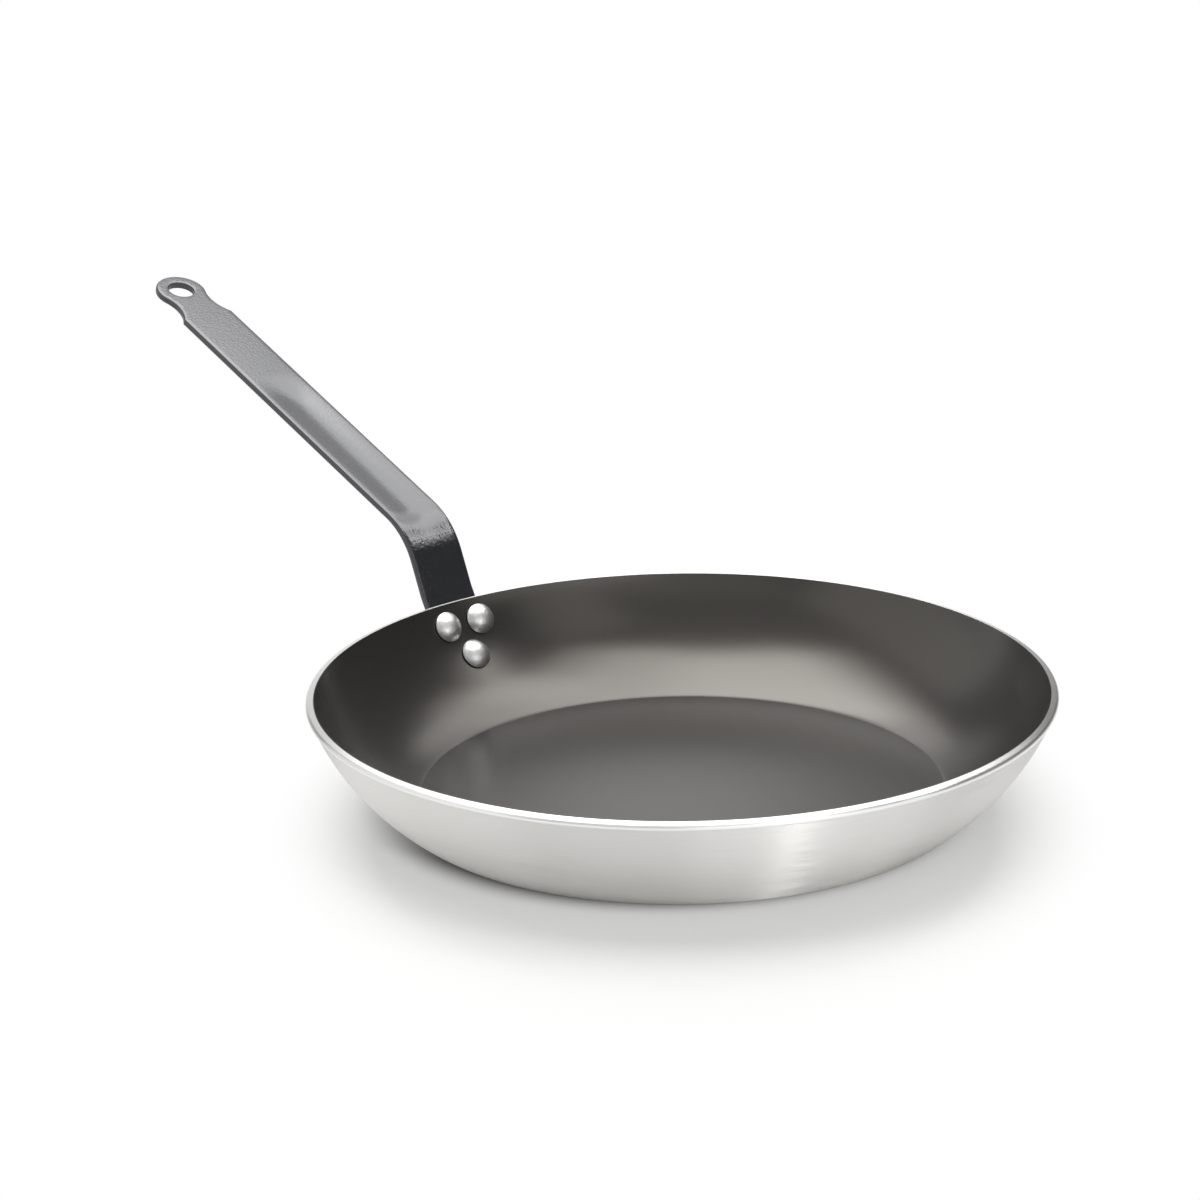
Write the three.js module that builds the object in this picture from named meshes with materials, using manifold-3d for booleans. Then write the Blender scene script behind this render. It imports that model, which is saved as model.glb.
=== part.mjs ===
// Frying pan: pressed aluminium body, non-stick coating, bent strip handle and three rivets.
// Millimetres and degrees. +Z is up, the origin is the middle of the underside, the handle points along +X.
import * as THREE from "three";
import { mergeVertices } from "three/addons/utils/BufferGeometryUtils.js";
import Module from "manifold-3d";

// Pan body
const rimDiameter = 280;
const rimHeight = 43.6; // at the upper edge of the coating
const lipRadius = 1.3; // rounded outer edge of the sheet
const lipDrop = 1.73; // middle of that rounding below the rim
const lipOverhang = 1; // how far the lip stands out of the wall
const lipWidth = 3.06; // bare metal between the coating and the outside of the lip
const wallSpread = 35; // from the flat of the base out to the rim
const wallFootSlope = 35.5; // of the outside of the wall above the base
const baseCorner = 5; // radius between the base and the wall
const floorThickness = 4;
const floorInset = 6.6; // from the flat of the base in to the edge of the floor
const floorEdgeSlope = 20.8; // of the inside of the wall above the floor

// Non-stick coating
const coatingThickness = 0.3;
const coatingClearance = 0.02; // between the coating and the metal

// Handle strip
const stripWidth = 24.15;
const stripThickness = 3;
const stripClearance = 0.3; // between the strip and the wall or the lip
const stretchSlope = 66.7; // of the stretch that rises beside the rim
const stretchLength = 13.5;
const rimBendRadius = 100;
const gripBendRadius = 31;
const gripSlope = 21.15;
const gripLength = 172.9; // from the bend to the eye
const lugRadius = 10.8;
const lugWaist = 1.9; // how much narrower than the lug its neck is, on each side
const lugNeckRadius = 19.3;
const eyeDiameter = 11.1;

// Rivets
const rivetSpacing = 16.1; // between the two upper rivets
const rivetDrop = 8.3; // upper rivets below the rim
const rivetPitch = 11.4; // lower rivet below the upper ones
const headDiameter = 12.2;
const headHeight = 3.5;
const shankDiameter = 5;
const shankClearance = 0.25; // all round the shank
const formedDiameter = 9; // hammered head on the outside
const formedHeight = 2.2;
const seatClearance = 0.25; // under both heads
const flangeMargin = 7; // from the middle of a rivet to the edge of the strip

// Fineness of round surfaces
const panSegments = 80;
const rivetSegments = 24;
const wallSteps = 10;

const wasm = await Module();
wasm.setup();

const rad = THREE.MathUtils.degToRad;
const point = (x, y) => new THREE.Vector2(x, y);

// Direction along a slope, and the direction square to it on the side away from the pan.
const along = (slope) => point(Math.cos(slope), Math.sin(slope));
const outward = (slope) => point(Math.sin(slope), -Math.cos(slope));

// Circle that leaves one point at a given slope and passes through another.
function circleFrom(start, slope, end) {
  const chord = end.clone().sub(start);
  const halfTurn = chord.angle() - slope;
  const radius = chord.length() / (2 * Math.sin(halfTurn));
  const centre = start.clone().addScaledVector(outward(slope), -radius);
  return { centre, radius, from: slope, to: slope + 2 * halfTurn };
}

// Points of a circle between two slopes.
function arcPoints(circle, from, to, steps) {
  const points = [];
  for (let i = 0; i <= steps; i++) {
    const slope = from + ((to - from) * i) / steps;
    points.push(circle.centre.clone().addScaledVector(outward(slope), circle.radius));
  }
  return points;
}

// Slope of a circle where it passes a height.
const slopeAt = (circle, height) => Math.acos((circle.centre.y - height) / circle.radius);

function solidOf(geometry) {
  const bare = geometry.clone();
  bare.deleteAttribute("normal");
  bare.deleteAttribute("uv");
  const merged = mergeVertices(bare, 1e-4);
  const index = merged.index.array;
  const triangles = [];
  for (let i = 0; i < index.length; i += 3) {
    const [a, b, c] = index.slice(i, i + 3);
    if (a !== b && b !== c && c !== a) triangles.push(a, b, c);
  }
  const mesh = new wasm.Mesh({
    numProp: 3,
    vertProperties: merged.attributes.position.array,
    triVerts: new Uint32Array(triangles),
  });
  return new wasm.Manifold(mesh);
}

function meshOf(name, solid, color, roughness, metalness) {
  const made = solid.getMesh();
  const geometry = new THREE.BufferGeometry();
  geometry.setAttribute("position", new THREE.BufferAttribute(made.vertProperties, 3));
  geometry.setIndex(new THREE.BufferAttribute(made.triVerts, 1));
  geometry.computeVertexNormals();
  const mesh = new THREE.Mesh(geometry, new THREE.MeshStandardMaterial({ color, roughness, metalness }));
  mesh.name = name;
  return mesh;
}

// Profile of radius and height turned about the pan's upright axis.
const turned = (profile) => solidOf(new THREE.LatheGeometry(profile, panSegments).rotateX(Math.PI / 2));

// Pan profile
const rimRadius = rimDiameter / 2;
const baseRadius = rimRadius - wallSpread;
const footSlope = rad(wallFootSlope);
const cornerCircle = { centre: point(baseRadius, baseCorner), radius: baseCorner };
const lipCircle = { centre: point(rimRadius - lipRadius, rimHeight - lipDrop), radius: lipRadius };
const wallFoot = cornerCircle.centre.clone().addScaledVector(outward(footSlope), baseCorner);
const lipStart = Math.asin((lipRadius - lipOverhang) / lipRadius);
const wallTop = lipCircle.centre.clone().addScaledVector(outward(lipStart), lipRadius);
const outerWall = circleFrom(wallFoot, footSlope, wallTop);
const floorEdge = point(baseRadius - floorInset, floorThickness);
const coatingEdge = point(rimRadius - lipWidth, rimHeight);
// The lip's flat crown falls from the coating's edge to the rounding.
const toCrown = coatingEdge.clone().sub(lipCircle.centre).add(point(coatingThickness, 0));
const crownTurn = toCrown.angle() - Math.acos(lipRadius / toCrown.length());
const innerWall = circleFrom(floorEdge, rad(floorEdgeSlope), coatingEdge);

// Floor and inner wall from the pan's axis up to the lip, at a depth below the coated surface.
function inside(depth) {
  const circle = { centre: innerWall.centre, radius: innerWall.radius + depth };
  const height = floorThickness - depth;
  return [point(0, height), ...arcPoints(circle, slopeAt(circle, height), innerWall.to, wallSteps)];
}

const bodyProfile = [
  point(0, 0),
  ...arcPoints(cornerCircle, 0, footSlope, 3),
  ...arcPoints(outerWall, outerWall.from, outerWall.to, wallSteps).slice(1),
  ...arcPoints(lipCircle, lipStart, crownTurn + Math.PI / 2, 8).slice(1),
  ...inside(coatingThickness + coatingClearance).toReversed(),
];
const coatingProfile = [...inside(coatingThickness), ...inside(0).toReversed()];

// Path of the strip's upper face: on the wall, clear of the lip, up beside the rim, then bent outwards.
const flangeCircle = { centre: outerWall.centre, radius: outerWall.radius + stripClearance };
const toLip = lipCircle.centre.clone().sub(flangeCircle.centre);
const lipClearRadius = lipRadius + stripClearance;
const lean = Math.acos((flangeCircle.radius - lipClearRadius) / toLip.length());
const leaveSlope = Math.atan2(toLip.y, toLip.x) - lean + Math.PI / 2;
const lowerRivetSlope = slopeAt(innerWall, rimHeight - rivetDrop - rivetPitch);
const flangeFootSlope = lowerRivetSlope - (flangeMargin + headDiameter / 2) / outerWall.radius;

const stations = [];
const addStation = (at, slope, hug) => stations.push({ at, slope, hug });

// Bend of the path from its last station to a new slope; hug says how far the strip follows the round wall.
function addBend(slope, radius, steps, hugAt) {
  const last = stations.at(-1);
  const side = slope < last.slope ? -1 : 1;
  const centre = last.at.clone().addScaledVector(outward(last.slope), -side * radius);
  for (let i = 1; i <= steps; i++) {
    const turn = last.slope + ((slope - last.slope) * i) / steps;
    addStation(centre.clone().addScaledVector(outward(turn), side * radius), turn, hugAt(i / steps));
  }
}

function addStraight(length) {
  const last = stations.at(-1);
  addStation(last.at.clone().addScaledVector(along(last.slope), length), last.slope, last.hug);
}

for (const at of arcPoints(flangeCircle, flangeFootSlope, leaveSlope, 6)) {
  const reach = at.clone().sub(flangeCircle.centre);
  addStation(at, Math.atan2(reach.x, -reach.y), 1);
}
addStraight(Math.sqrt(toLip.lengthSq() - (flangeCircle.radius - lipClearRadius) ** 2));
addBend(rad(stretchSlope), rimBendRadius, 6, (share) => 1 - THREE.MathUtils.smoothstep(share, 0, 1));
addStraight(stretchLength);
addBend(rad(gripSlope), gripBendRadius, 10, () => 0);
const gripStart = stations.at(-1);
addStraight(gripLength + 2 * lugRadius);

const outerFace = stations.map((s) => s.at.clone().addScaledVector(outward(s.slope), stripThickness));

// Distance along a line from a start to the strip's outer face.
function reachOuterFace(start, direction) {
  for (let i = 1; i < outerFace.length; i++) {
    const side = outerFace[i].clone().sub(outerFace[i - 1]);
    const gap = outerFace[i - 1].clone().sub(start);
    const area = direction.cross(side);
    const share = gap.cross(direction) / area;
    if (share >= 0 && share <= 1) return gap.cross(side) / area;
  }
  throw new Error("a rivet misses the handle");
}

// Where a rivet's axis leaves the coated wall, its direction, and its length to the strip's outer face.
function rivetPlace(name, drop, across) {
  const slope = slopeAt(innerWall, rimHeight - drop);
  const start = innerWall.centre.clone().addScaledVector(outward(slope), innerWall.radius);
  const turn = Math.asin(across / start.x);
  const upright = new THREE.Vector3(0, 0, 1);
  const to3D = (flat) => new THREE.Vector3(flat.x, 0, flat.y).applyAxisAngle(upright, turn);
  const length = reachOuterFace(start, outward(slope));
  return { name, at: to3D(start), direction: to3D(outward(slope)), length };
}

const places = [
  rivetPlace("rivet_left", rivetDrop, rivetSpacing / 2),
  rivetPlace("rivet_right", rivetDrop, -rivetSpacing / 2),
  rivetPlace("rivet_lower", rivetDrop + rivetPitch, 0),
];

// Profile turned about a rivet's axis; heights count outwards from the coated wall.
function alongRivet(place, profile) {
  const geometry = new THREE.LatheGeometry(profile, rivetSegments);
  const turn = new THREE.Quaternion().setFromUnitVectors(new THREE.Vector3(0, 1, 0), place.direction);
  geometry.applyQuaternion(turn);
  geometry.translate(...place.at.toArray());
  return solidOf(geometry);
}

function rivetSolid(place) {
  const headRadius = headDiameter / 2;
  const headSeat = -(headRadius ** 2 / (2 * innerWall.radius) + seatClearance);
  const formedSeat = place.length + seatClearance;
  const domeRadius = (headRadius ** 2 + headHeight ** 2) / (2 * headHeight);
  const domeCircle = { centre: point(0, headSeat - headHeight + domeRadius), radius: domeRadius };
  return alongRivet(place, [
    ...arcPoints(domeCircle, 0, slopeAt(domeCircle, headSeat), 8),
    point(shankDiameter / 2, headSeat),
    point(shankDiameter / 2, formedSeat),
    point(formedDiameter / 2, formedSeat),
    point(formedDiameter / 2, formedSeat + formedHeight / 3),
    point(formedDiameter / 3, formedSeat + formedHeight),
    point(0, formedSeat + formedHeight),
  ]);
}

function rivetHole(place) {
  const holeRadius = shankDiameter / 2 + shankClearance;
  const past = place.length + stripThickness;
  return alongRivet(place, [
    point(0, -headHeight),
    point(holeRadius, -headHeight),
    point(holeRadius, past),
    point(0, past),
  ]);
}

// Strip bent along its path: a box whose stations are moved on to the path.
function bentStrip(width) {
  const steps = stations.length - 1;
  const geometry = new THREE.BoxGeometry(1, width, 1, steps, 6, 1);
  const position = geometry.attributes.position;
  for (let i = 0; i < position.count; i++) {
    const station = stations[Math.round((position.getX(i) + 0.5) * steps)];
    const depth = (0.5 - position.getZ(i)) * stripThickness;
    const across = position.getY(i);
    const flat = station.at.clone().addScaledVector(outward(station.slope), depth);
    const roundness = flat.x - Math.sqrt(flat.x ** 2 - across ** 2);
    position.setXYZ(i, flat.x - station.hug * roundness, across, flat.y);
  }
  return solidOf(geometry);
}

// Outline across and along a sloping face, cut through everything square to that face.
function prism(shape, origin, slope, reach) {
  const settings = { depth: 2 * reach, bevelEnabled: false, curveSegments: 12 };
  const geometry = new THREE.ExtrudeGeometry(shape, settings);
  geometry.translate(0, 0, -reach);
  const x = new THREE.Vector3(0, -1, 0);
  const y = new THREE.Vector3(Math.cos(slope), 0, Math.sin(slope));
  const z = new THREE.Vector3().crossVectors(x, y);
  geometry.applyMatrix4(new THREE.Matrix4().makeBasis(x, y, z));
  geometry.translate(origin.x, 0, origin.y);
  return solidOf(geometry);
}

// Riveted end: a rounded triangle about the three rivets, joined to the straight strip above.
const handleReach = 2 * (gripLength + rimDiameter);
function middleOfStrip({ at, direction, length }) {
  const middle = at.clone().addScaledVector(direction, length - stripThickness / 2);
  return point(middle.x, middle.z);
}

const [upper, , lower] = places.map(middleOfStrip);
const flangeRise = upper.clone().sub(lower);
const flangeLength = flangeRise.length();
const halfSpacing = rivetSpacing / 2;
const sideTilt = Math.atan2(halfSpacing, flangeLength);
const flangeOutline = new THREE.Shape();
flangeOutline.absarc(0, 0, flangeMargin, -Math.PI + sideTilt, -sideTilt, false);
flangeOutline.absarc(halfSpacing, flangeLength, flangeMargin, -sideTilt, Math.PI / 2, false);
flangeOutline.absarc(-halfSpacing, flangeLength, flangeMargin, Math.PI / 2, Math.PI + sideTilt, false);
const stripOutline = new THREE.Shape([
  point(-stripWidth / 2, flangeLength),
  point(stripWidth / 2, flangeLength),
  point(stripWidth / 2, handleReach),
  point(-stripWidth / 2, handleReach),
]);

// Free end: the lug round the eye, with a hollow neck on each side.
const neckRise = lugRadius - lugWaist + lugNeckRadius;
const neckBack = Math.sqrt((lugRadius + lugNeckRadius) ** 2 - neckRise ** 2);
const neckEnd = Math.atan2(neckBack, neckRise);
const shoulder = Math.acos((neckRise - stripWidth / 2 - stripThickness) / lugNeckRadius);
const lugOutline = new THREE.Shape();
lugOutline.moveTo(-handleReach, -handleReach);
lugOutline.lineTo(handleReach, -handleReach);
lugOutline.absarc(neckRise, -neckBack, lugNeckRadius, Math.PI + shoulder, Math.PI - neckEnd, true);
lugOutline.absarc(0, 0, lugRadius, -neckEnd, Math.PI + neckEnd, false);
lugOutline.absarc(-neckRise, -neckBack, lugNeckRadius, neckEnd, -shoulder, true);
const eyeOutline = new THREE.Shape().absarc(0, 0, eyeDiameter / 2, 0, 2 * Math.PI, false);
const eye = gripStart.at.clone().addScaledVector(along(gripStart.slope), gripLength);

const flangePrism = prism(flangeOutline, lower, flangeRise.angle(), handleReach);
const stripPrism = prism(stripOutline, lower, flangeRise.angle(), handleReach);
const lugPrism = prism(lugOutline, eye, rad(gripSlope), handleReach);
const eyePrism = prism(eyeOutline, eye, rad(gripSlope), 2 * stripThickness);

let body = turned(bodyProfile);
let coating = turned(coatingProfile);
let handle = bentStrip(Math.max(stripWidth, rivetSpacing + 2 * flangeMargin) + 2 * stripThickness)
  .intersect(flangePrism.add(stripPrism))
  .intersect(lugPrism)
  .subtract(eyePrism);
for (const place of places) {
  const hole = rivetHole(place);
  body = body.subtract(hole);
  coating = coating.subtract(hole);
  handle = handle.subtract(hole);
}

const pan = new THREE.Group();
pan.name = "frying_pan";
pan.add(meshOf("pan_body", body, 0xc9c9c6, 0.35, 1));
pan.add(meshOf("nonstick_coating", coating, 0x3c3b38, 0.45, 0));
pan.add(meshOf("handle", handle, 0x45474a, 0.4, 0.2));
for (const place of places) {
  pan.add(meshOf(place.name, rivetSolid(place), 0xd2d2d0, 0.3, 1));
}

export default pan;
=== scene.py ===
"""Looks of a frying pan: fine meshes, finishes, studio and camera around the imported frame.

Sizes are in millimetres and degrees, and meshes in metres. The origin is the middle of the pan's
underside, +Z is up and the handle points along +X.
"""

import logging
import math
from collections.abc import Callable, Iterable, Sequence
from dataclasses import dataclass, field, replace
from enum import Enum, IntEnum

import bmesh
import bpy
from mathutils import Matrix, Vector
from mathutils.geometry import delaunay_2d_cdt
from mathutils.kdtree import KDTree


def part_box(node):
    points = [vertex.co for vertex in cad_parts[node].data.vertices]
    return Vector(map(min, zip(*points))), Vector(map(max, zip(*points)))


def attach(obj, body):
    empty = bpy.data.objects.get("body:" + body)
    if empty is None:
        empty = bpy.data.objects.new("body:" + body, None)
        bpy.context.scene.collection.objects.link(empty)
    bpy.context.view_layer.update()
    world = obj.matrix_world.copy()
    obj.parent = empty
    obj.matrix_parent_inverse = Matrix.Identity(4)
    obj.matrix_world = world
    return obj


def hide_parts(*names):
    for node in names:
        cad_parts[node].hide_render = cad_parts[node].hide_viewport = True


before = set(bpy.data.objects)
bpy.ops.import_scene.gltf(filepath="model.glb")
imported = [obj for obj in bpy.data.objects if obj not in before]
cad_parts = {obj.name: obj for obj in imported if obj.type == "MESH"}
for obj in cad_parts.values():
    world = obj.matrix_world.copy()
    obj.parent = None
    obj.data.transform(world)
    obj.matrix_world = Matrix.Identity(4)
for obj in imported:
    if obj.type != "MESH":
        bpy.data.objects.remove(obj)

MM = 0.001
BODY = "root"
SHARP_ANGLE = math.radians(32)
FULL_TURN = 2 * math.pi
TINY = 1e-6
WHITE = "#FFFFFF"
NOISE_RANGE = (0.3, 0.7)  # where most values of a noise texture lie
MIX_FIRST, MIX_SECOND, MIX_RESULT = 6, 7, 2  # colour sockets of Blender's Mix node
FILL_INSIDE = 1  # has the triangulation fill what lies inside its edges

log = logging.getLogger("frying_pan")


class Slot(Enum):
    """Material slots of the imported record."""

    ALUMINIUM = "pressed_aluminium"
    LINING = "nonstick_lining"
    STEEL = "coated_steel"
    RIVET = "rivet_aluminium"


class Stretch(IntEnum):
    """Stretches of the handle's strip, in order from the flange to the lug."""

    FLANGE = 1
    PAST_LIP = 2
    RIM_BEND = 3
    RISE = 4
    GRIP_BEND = 5
    GRIP = 6
    LUG = 7


# Plane geometry

def along(slope: float) -> Vector:
    """Direction that rises at a slope, in radius and height."""
    return Vector((math.cos(slope), math.sin(slope)))


def outward(slope: float) -> Vector:
    """Direction square to a slope, on the side away from the pan's axis."""
    return Vector((math.sin(slope), -math.cos(slope)))


@dataclass(frozen=True)
class Arc:
    """Round stretch of a profile, between two slopes in radians."""

    centre: Vector
    radius: float
    start: float
    end: float

    @classmethod
    def through(cls, first: Vector, slope: float, last: Vector) -> "Arc":
        """Make the arc that leaves one point at a slope and passes through another.

        Args:
            first: Point where the arc starts.
            slope: Slope of the arc at that point.
            last: Point where the arc ends.

        Returns:
            The arc between the two points.
        """
        chord = last - first
        half_turn = math.atan2(chord.y, chord.x) - slope
        radius = chord.length / (2 * math.sin(half_turn))
        return cls(first - radius * outward(slope), radius, slope, slope + 2 * half_turn)

    def at(self, slope: float, depth: float = 0.0) -> Vector:
        """Point of the arc at a slope, moved out of it by a depth."""
        return self.centre + (self.radius + depth) * outward(slope)

    def slope_at(self, height: float, depth: float = 0.0) -> float:
        """Slope where the arc, moved out by a depth, passes a height."""
        return math.acos((self.centre.y - height) / (self.radius + depth))

    def points(self, steps: int, depth: float = 0.0) -> list[Vector]:
        """Points of the arc in equal steps, moved out by a depth."""
        turn = (self.end - self.start) / steps
        return [self.at(self.start + turn * i, depth) for i in range(steps + 1)]


def round_points(centre: Vector, radius: float, start: float, end: float, spacing: float) -> list[Vector]:
    """Lay points on a circle in a flat pattern.

    Args:
        centre: Middle of the circle.
        radius: Radius of the circle.
        start: First angle in radians, from the across axis.
        end: Last angle in radians.
        spacing: Greatest distance between two points.

    Returns:
        The points from the first angle to the last.
    """
    steps = max(2, math.ceil(abs(end - start) * radius / spacing))
    turns = [start + (end - start) * i / steps for i in range(steps + 1)]
    return [centre + radius * Vector((math.cos(turn), math.sin(turn))) for turn in turns]


def smooth_step(share: float) -> float:
    """Ease a share from 0 to 1."""
    share = min(max(share, 0.0), 1.0)
    return share * share * (3 - 2 * share)


# Meshes

def new_object(name: str, points: Sequence[Vector], faces: Sequence[Sequence[int]]) -> bpy.types.Object:
    """Make a mesh object with outward faces.

    Args:
        name: Name of the piece.
        points: Corners in millimetres, in the frame of the part.
        faces: Corner numbers of each face.

    Returns:
        The new object, linked to the scene.
    """
    mesh = bpy.data.meshes.new(name)
    mesh.from_pydata([point * MM for point in points], [], faces)
    work = bmesh.new()
    work.from_mesh(mesh)
    bmesh.ops.recalc_face_normals(work, faces=work.faces)
    work.to_mesh(mesh)
    work.free()
    piece = bpy.data.objects.new(name, mesh)
    bpy.context.scene.collection.objects.link(piece)
    return piece


def turned_object(name: str, profile: Sequence[Vector], segments: int, place: Matrix) -> bpy.types.Object:
    """Turn a closed profile about its axis.

    Args:
        name: Name of the piece.
        profile: Points of radius and height, from the axis back to the axis.
        segments: Number of faces round the axis.
        place: Frame whose Z axis is the axis of turning.

    Returns:
        The turned object.
    """
    points: list[Vector] = []
    rings: list[list[int]] = []
    for radius, height in profile:
        count = segments if radius > TINY else 1
        rings.append(list(range(len(points), len(points) + count)))
        for i in range(count):
            turn = FULL_TURN * i / segments
            points.append(place @ Vector((radius * math.cos(turn), radius * math.sin(turn), height)))
    faces: list[list[int]] = []
    for lower, upper in zip(rings, rings[1:]):
        for i in range(segments):
            corners = [
                lower[i % len(lower)],
                lower[(i + 1) % len(lower)],
                upper[(i + 1) % len(upper)],
                upper[i % len(upper)],
            ]
            faces.append(list(dict.fromkeys(corners)))
    return new_object(name, points, faces)


def cut(piece: bpy.types.Object, cutters: Iterable[bpy.types.Object]) -> None:
    """Cut solids out of a piece and delete them.

    Args:
        piece: Object that is cut.
        cutters: Solids that are taken away.
    """
    cutters = list(cutters)
    for cutter in cutters:
        modifier = piece.modifiers.new(cutter.name, "BOOLEAN")
        modifier.operation = "DIFFERENCE"
        modifier.solver = "EXACT"
        modifier.object = cutter
    shape = piece.evaluated_get(bpy.context.evaluated_depsgraph_get())
    old = piece.data
    piece.data = bpy.data.meshes.new_from_object(shape)
    piece.modifiers.clear()
    piece.data.name = old.name
    bpy.data.meshes.remove(old)
    for cutter in cutters:
        bpy.data.meshes.remove(cutter.data)


def settle(piece: bpy.types.Object, node: str) -> None:
    """Smooth a finished piece and put it in the place of its CAD node.

    Args:
        piece: Finished object.
        node: CAD node that it stands for.
    """
    piece.data.shade_smooth()
    piece.data.set_sharp_from_angle(angle=SHARP_ANGLE)
    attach(piece, BODY)
    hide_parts(node)
    log.info("%s: %d faces for %s", piece.name, len(piece.data.polygons), node)


# Finishes

def linear(colour: str) -> tuple[float, float, float, float]:
    """Turn an sRGB hex colour into linear RGBA.

    Args:
        colour: Colour as #RRGGBB.

    Returns:
        Red, green, blue and alpha from 0 to 1.
    """
    parts = [int(colour[i : i + 2], 16) / 255 for i in (1, 3, 5)]
    return (*(p / 12.92 if p <= 0.04045 else ((p + 0.055) / 1.055) ** 2.4 for p in parts), 1.0)


def add_node(
    tree: bpy.types.NodeTree, kind: str, inputs: dict[str | int, object] | None = None, **settings: object
) -> bpy.types.Node:
    """Add a node with its settings and links.

    Args:
        tree: Node tree that gets the node.
        kind: Blender's name of the node type.
        inputs: Value, output socket or node for each input, by name or number. A node gives its first output.
        **settings: Properties of the node.

    Returns:
        The new node.
    """
    node = tree.nodes.new(kind)
    for key, value in settings.items():
        setattr(node, key, value)
    for key, value in (inputs or {}).items():
        source = value.outputs[0] if isinstance(value, bpy.types.Node) else value
        if isinstance(source, bpy.types.NodeSocket):
            tree.links.new(source, node.inputs[key])
        else:
            node.inputs[key].default_value = source
    return node


def graded(
    value: bpy.types.Node | bpy.types.NodeSocket, spread: tuple[float, float], levels: tuple[float, float]
) -> dict[str, object]:
    """Lay out the inputs of a grading from one level to another.

    Args:
        value: What the grading follows.
        spread: Values where it starts and ends.
        levels: Level at its start and at its end.

    Returns:
        The inputs by name.
    """
    names = ("Value", "From Min", "From Max", "To Min", "To Max")
    return dict(zip(names, (value, *spread, *levels)))


def about(middle: float, spread: float) -> tuple[float, float]:
    """Lower and upper end of a spread about its middle."""
    return middle - spread / 2, middle + spread / 2


def per_mm(size: float) -> float:
    """Texture scale, in cycles per metre, of a pattern whose features have a size in millimetres."""
    return 1 / (size * MM)


def new_material(name: str) -> tuple[bpy.types.Material, bpy.types.NodeTree]:
    """Make an empty node material.

    Args:
        name: Name of the material.

    Returns:
        The material and its node tree.
    """
    material = bpy.data.materials.new(name)
    material.use_nodes = True
    material.node_tree.nodes.clear()
    return material, material.node_tree


@dataclass(frozen=True)
class Finish:
    """What every finish of the pan has: two tones, an uneven gloss and a fine relief."""

    name: str
    colour: str
    pale: str
    roughness: float
    roughness_spread: float
    relief_depth: float

    def surface(
        self,
        tree: bpy.types.NodeTree,
        tone: bpy.types.Node,
        relief: bpy.types.Node,
        inputs: dict[str | int, object],
    ) -> None:
        """Add the shader and the material's output.

        Args:
            tree: Node tree of the material.
            tone: Pattern that the colour and the gloss follow.
            relief: Pattern that the height follows.
            inputs: Further inputs of the shader.
        """
        tones = {MIX_FIRST: linear(self.colour), MIX_SECOND: linear(self.pale)}
        colour = add_node(tree, "ShaderNodeMix", {"Factor": tone, **tones}, data_type="RGBA")
        gloss = about(self.roughness, self.roughness_spread)
        bumps = {"Height": relief, "Strength": 1.0, "Distance": self.relief_depth * MM}
        own = {
            "Base Color": colour.outputs[MIX_RESULT],
            "Roughness": add_node(tree, "ShaderNodeMapRange", graded(tone, NOISE_RANGE, gloss)),
            "Normal": add_node(tree, "ShaderNodeBump", bumps),
        }
        shader = add_node(tree, "ShaderNodeBsdfPrincipled", {**own, **inputs})
        add_node(tree, "ShaderNodeOutputMaterial", {"Surface": shader})


@dataclass(frozen=True)
class TurnedAluminium(Finish):
    """Pressed aluminium turned on a lathe, with fine grooves round the pan."""

    anisotropy: float
    groove_wander: float = 0.0  # share of a turn by which the grooves stray
    groove_width: float = 0.7  # drawn coarser than the real 0.1 mm turning marks, to show at all
    groove_turn: float = 0.16  # length of a groove, in radians round the pan
    spread_turn: float = 0.25  # quarter turn from the grooves to the way in which they spread light

    def material(self) -> bpy.types.Material:
        """Build the material.

        Returns:
            Aluminium with grooves round the Z axis.
        """
        material, tree = new_material(self.name)
        place = add_node(tree, "ShaderNodeTexCoord").outputs["Object"]
        flat = add_node(tree, "ShaderNodeVectorMath", {0: place, 1: (1, 1, 0)}, operation="MULTIPLY")
        reach = add_node(tree, "ShaderNodeVectorMath", {0: flat}, operation="LENGTH").outputs["Value"]
        height = add_node(tree, "ShaderNodeSeparateXYZ", {0: place}).outputs["Z"]
        climb = add_node(tree, "ShaderNodeMath", {0: reach, 1: height}, operation="ADD")
        per_metre, per_radian = per_mm(self.groove_width), 1 / self.groove_turn
        rows = add_node(tree, "ShaderNodeMath", {0: climb, 1: per_metre}, operation="MULTIPLY")
        rise = add_node(tree, "ShaderNodeCombineXYZ", {"Z": rows})
        ray = add_node(tree, "ShaderNodeVectorMath", {0: flat}, operation="NORMALIZE")
        ring = add_node(tree, "ShaderNodeVectorMath", {0: ray, "Scale": per_radian}, operation="SCALE")
        lie = add_node(tree, "ShaderNodeVectorMath", {0: ring, 1: rise}, operation="ADD")
        noise = {"Vector": lie, "Scale": 1.0, "Detail": 2.0, "Roughness": 0.6}
        grooves = add_node(tree, "ShaderNodeTexNoise", noise)
        lean: float | bpy.types.Node = self.spread_turn
        if self.groove_wander:
            turns = about(self.spread_turn, self.groove_wander)
            lean = add_node(tree, "ShaderNodeMapRange", graded(grooves, (0.0, 1.0), turns))
        lustre = {
            "Metallic": 1.0,
            "Anisotropic": self.anisotropy,
            "Anisotropic Rotation": lean,
            "Tangent": add_node(tree, "ShaderNodeTangent", direction_type="RADIAL", axis="Z"),
        }
        self.surface(tree, grooves, grooves, lustre)
        return material


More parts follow.
